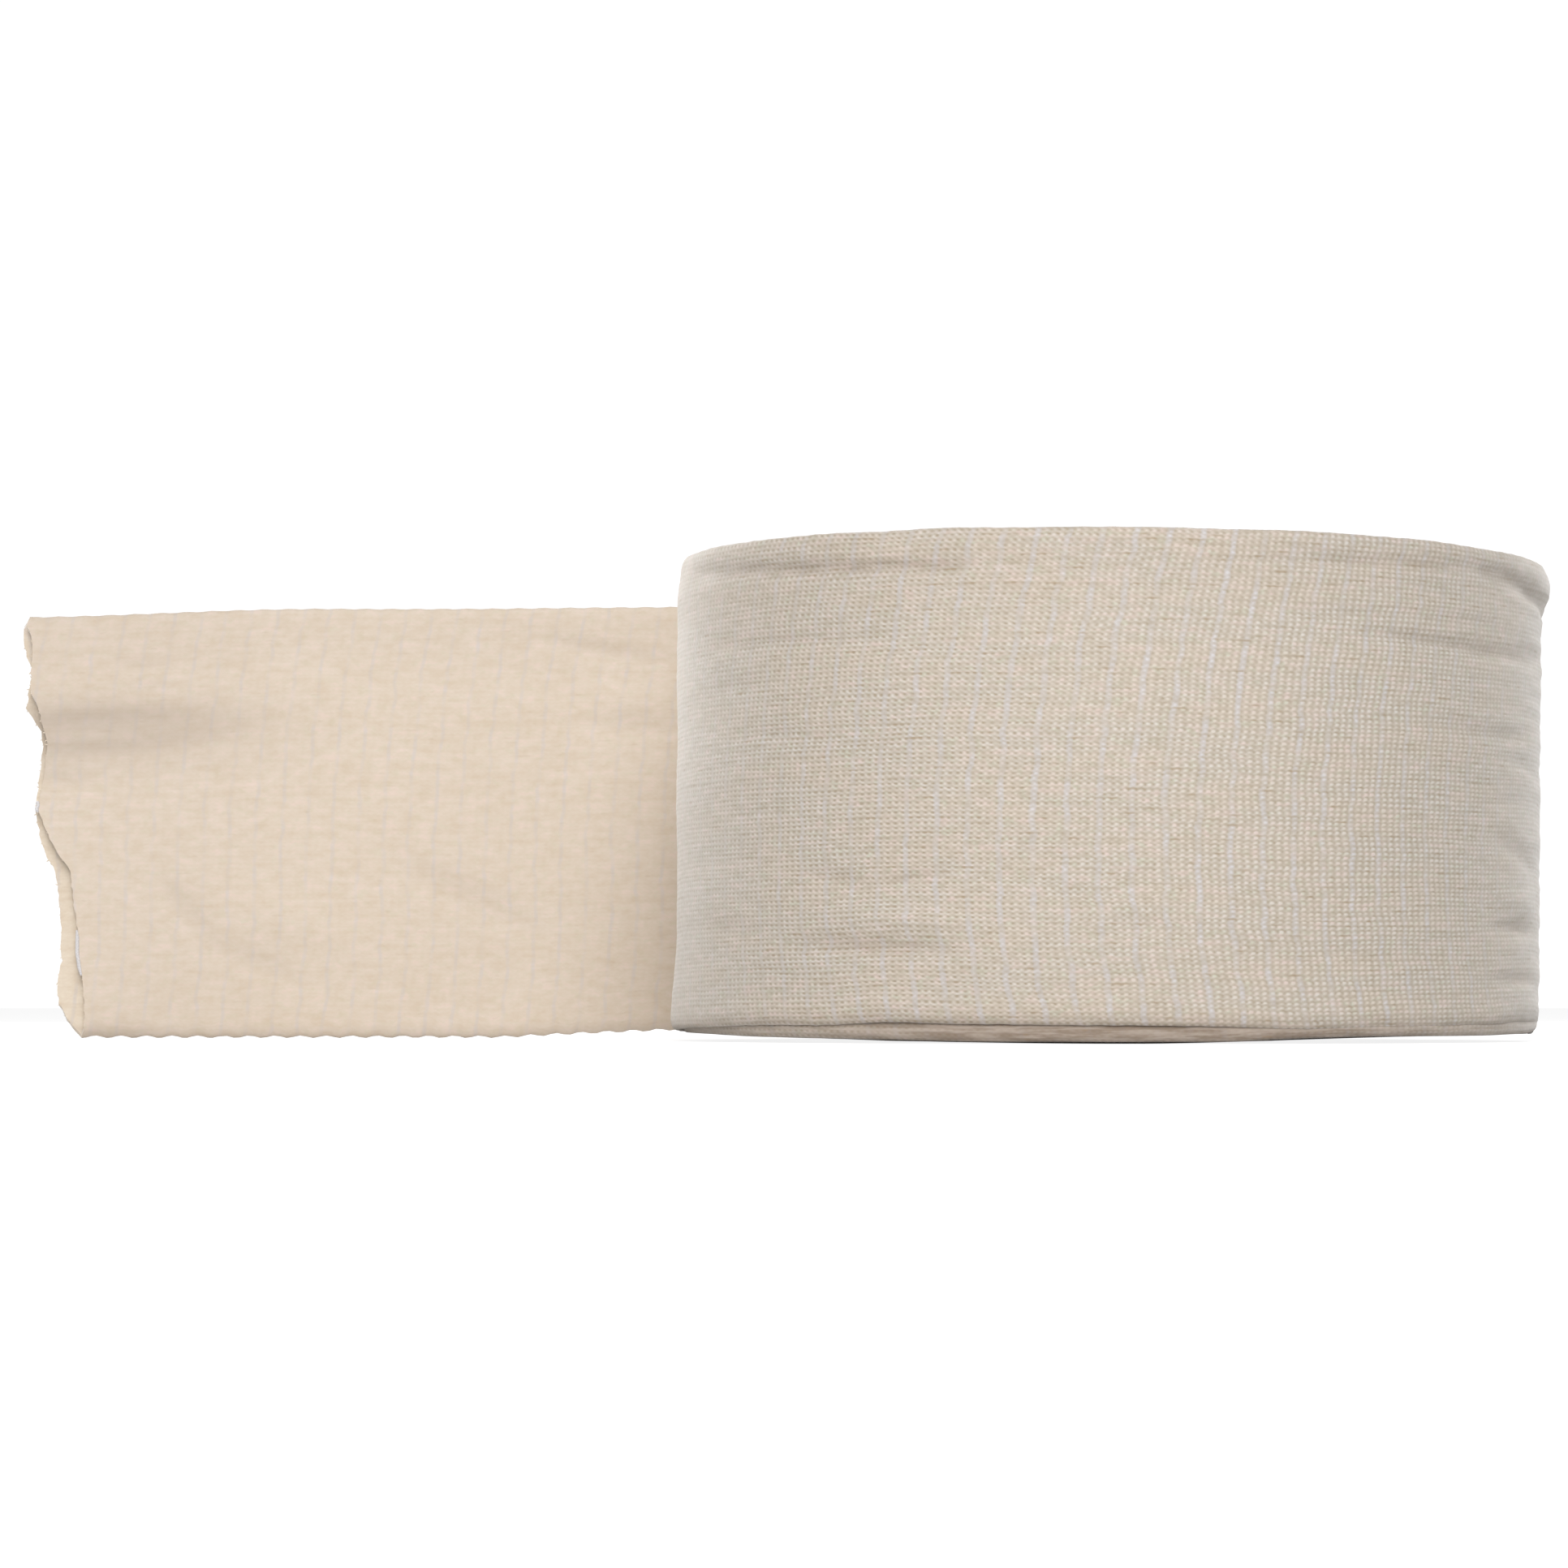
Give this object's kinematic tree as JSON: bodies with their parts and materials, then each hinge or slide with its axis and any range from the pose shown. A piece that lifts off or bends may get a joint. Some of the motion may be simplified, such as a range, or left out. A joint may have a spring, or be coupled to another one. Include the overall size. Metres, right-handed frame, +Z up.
{
  "type": "tubular support bandage roll",
  "caption": "Roll of elasticated knitted tubular bandage, pressed flat, wound on itself and standing on end, its loose end cut raw.",
  "frame": {"origin": "where the roll's axis meets the surface that it stands on", "axes": "+Z up along the roll's axis, the loose end leaves the back (+Y) of the roll and runs along -X"},
  "size_m": [0.2541, 0.1414, 0.0754],
  "materials": {
    "elastic_knit": "matt unbleached cotton knit with pale covered elastic yarns"
  },
  "bodies": {
    "root": {"wound_roll": "elastic_knit", "loose_end": "elastic_knit"}
  },
  "joints": []
}
